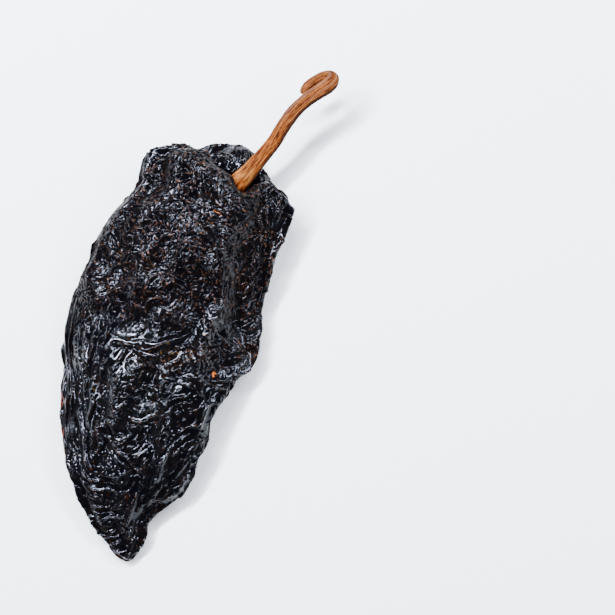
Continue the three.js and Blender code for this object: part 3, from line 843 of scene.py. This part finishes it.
def stem_material():
    """Dry brown wood: streaks and fibres along it, dark grooves, a greyer curl, a burnt foot and painted
    shade on its lower right side.
    """
    n = Nodes("stem")
    colours = WOOD_COLOURS
    groove, streak, distance = n.attribute("groove"), n.attribute("streak"), n.attribute("distance")
    grain = n.attribute("grain", "Vector")
    fibre = n.noise(0.30, detail=4.0, rough=0.6, distortion=0.3, grain=grain)
    specks = n.noise(0.45, detail=3.0, rough=0.7)
    mottle = n.noise(1.6, detail=4.0, rough=0.6)
    colour = n.blend(n.ranged(streak, -1.4, 1.4), colours["red_brown"], colours["light_brown"])
    colour = n.blend(n.ranged(distance, 4.0, 13.0, 0.9, 0.0), colour, colours["pale_foot"])
    towards_curl = n.ranged(distance, 22.0, 32.0, 0.0, 0.35)
    colour = n.blend(towards_curl, colour, colours["grey_curl"])
    colour = n.blend(n.ranged(fibre, 0.55, 0.68, 0.0, 0.85), colour, colours["pale_fibre"])
    colour = n.blend(n.ranged(fibre, 0.43, 0.49, 0.95, 0.0), colour, colours["dark_fibre"])
    colour = n.blend(n.ranged(specks, 0.56, 0.64, 0.0, 0.85), colour, colours["speck"])
    colour = n.blend(n.ranged(mottle, 0.50, 0.66, 0.0, 0.35), colour, colours["mottle"])
    colour = n.blend(n.math("MULTIPLY", groove, 0.75), colour, colours["groove"])
    # Painted shade: the stem's lower right side, away from the lights, is darkened.
    colour = n.blend(n.math("MULTIPLY", n.attribute("painted_shade_side"), 0.9), colour, colours["painted_shade_side"])
    grey = n.math("MULTIPLY", n.ranged(n.attribute("band"), 0.3, 1.2), towards_curl)
    colour = n.blend(grey, colour, colours["grey_band"])
    edge = n.math("ADD", distance, n.ranged(fibre, 0.3, 0.7, -1.6, 1.6))
    colour = n.blend(n.ranged(edge, 4.4, 8.6, 0.9, 0.0), colour, colours["burnt_foot"])
    colour = n.blend(n.ranged(edge, 3.8, 5.2, 1.0, 0.0), colour, colours["black_foot"])
    n.put(n.bsdf.inputs["Base Color"], colour)
    n.put(n.bsdf.inputs["Roughness"], n.ranged(fibre, 0.3, 0.7, 0.6, 0.8))
    n.bsdf.inputs["Specular IOR Level"].default_value = WOOD_GLOSS
    n.put(n.bsdf.inputs["Normal"], n.bump(fibre, 0.12))
    return n.material


# The chili.

points, faces = make_skin(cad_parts["pod"])
normals = point_normals(points, faces)
coat = skin_material()
for mesh in belts(SKIN_BELTS, points, faces, normals, skin_values(points, faces, normals)):
    mesh.materials.append(coat)
    skin = bpy.data.objects.new(mesh.name, mesh)
    bpy.context.scene.collection.objects.link(skin)
    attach(skin, "root")
    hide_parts("pod")

wood = make_wood(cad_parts["stem"])
wood.materials.append(stem_material())
stem = bpy.data.objects.new(wood.name, wood)
bpy.context.scene.collection.objects.link(stem)
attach(stem, "root")
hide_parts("stem")

# Floor, light and camera.


def softbox(name, towards, elevation, distance, size, brightness, colour):
    """A soft light, so wide and so high, that faces the chili from an angle and an elevation."""
    turn, lift = math.radians(towards + PICTURE_TURN), math.radians(elevation)
    back = Vector((math.cos(turn) * math.cos(lift), math.sin(turn) * math.cos(lift), math.sin(lift)))
    data = bpy.data.lights.new(name, "AREA")
    data.shape = "RECTANGLE"
    data.size, data.size_y = size
    data.energy = brightness * math.pi * size[0] * size[1]
    data.color = colour
    lamp = bpy.data.objects.new(name, data)
    lamp.location = back * distance
    lamp.rotation_euler = back.to_track_quat("Z", "Y").to_euler()
    bpy.context.scene.collection.objects.link(lamp)


floor_mesh = bpy.data.meshes.new("floor")
floor_corners = [(x * FLOOR_REACH, y * FLOOR_REACH, 0) for x, y in ((-1, -1), (1, -1), (1, 1), (-1, 1))]
floor_mesh.from_pydata(floor_corners, [], [(0, 1, 2, 3)])
floor = bpy.data.objects.new("floor", floor_mesh)
bpy.context.scene.collection.objects.link(floor)
white = bpy.data.materials.new("white")
white.use_nodes = True
white.node_tree.nodes["Principled BSDF"].inputs["Base Color"].default_value = FLOOR_WHITE
floor_mesh.materials.append(white)

world = bpy.data.worlds.new("studio")
bpy.context.scene.world = world
world.use_nodes = True
world.node_tree.nodes["Background"].inputs["Color"].default_value = SKY_COLOUR
world.node_tree.nodes["Background"].inputs["Strength"].default_value = SKY_STRENGTH

for towards, elevation, wide, high, brightness in ARCS:
    place = (towards, elevation, ARC_DISTANCE)
    softbox(f"key_{towards}", *place, (wide, high), brightness, ARC_COLOUR)
for towards in PANEL_ANGLES:
    place = (towards, PANEL_ELEVATION, PANEL_DISTANCE)
    softbox(f"panel_{towards}", *place, PANEL_SIZE, PANEL_BRIGHTNESS, PANEL_COLOUR)

lens = bpy.data.cameras.new("camera")
lens.lens = LENS
lens.sensor_width = SENSOR
lens.clip_start = NEAREST_SEEN
camera = bpy.data.objects.new("camera", lens)
camera.location = CAMERA_PLACE
camera.rotation_euler = (0, 0, math.radians(PICTURE_TURN))
bpy.context.scene.collection.objects.link(camera)
bpy.context.scene.camera = camera
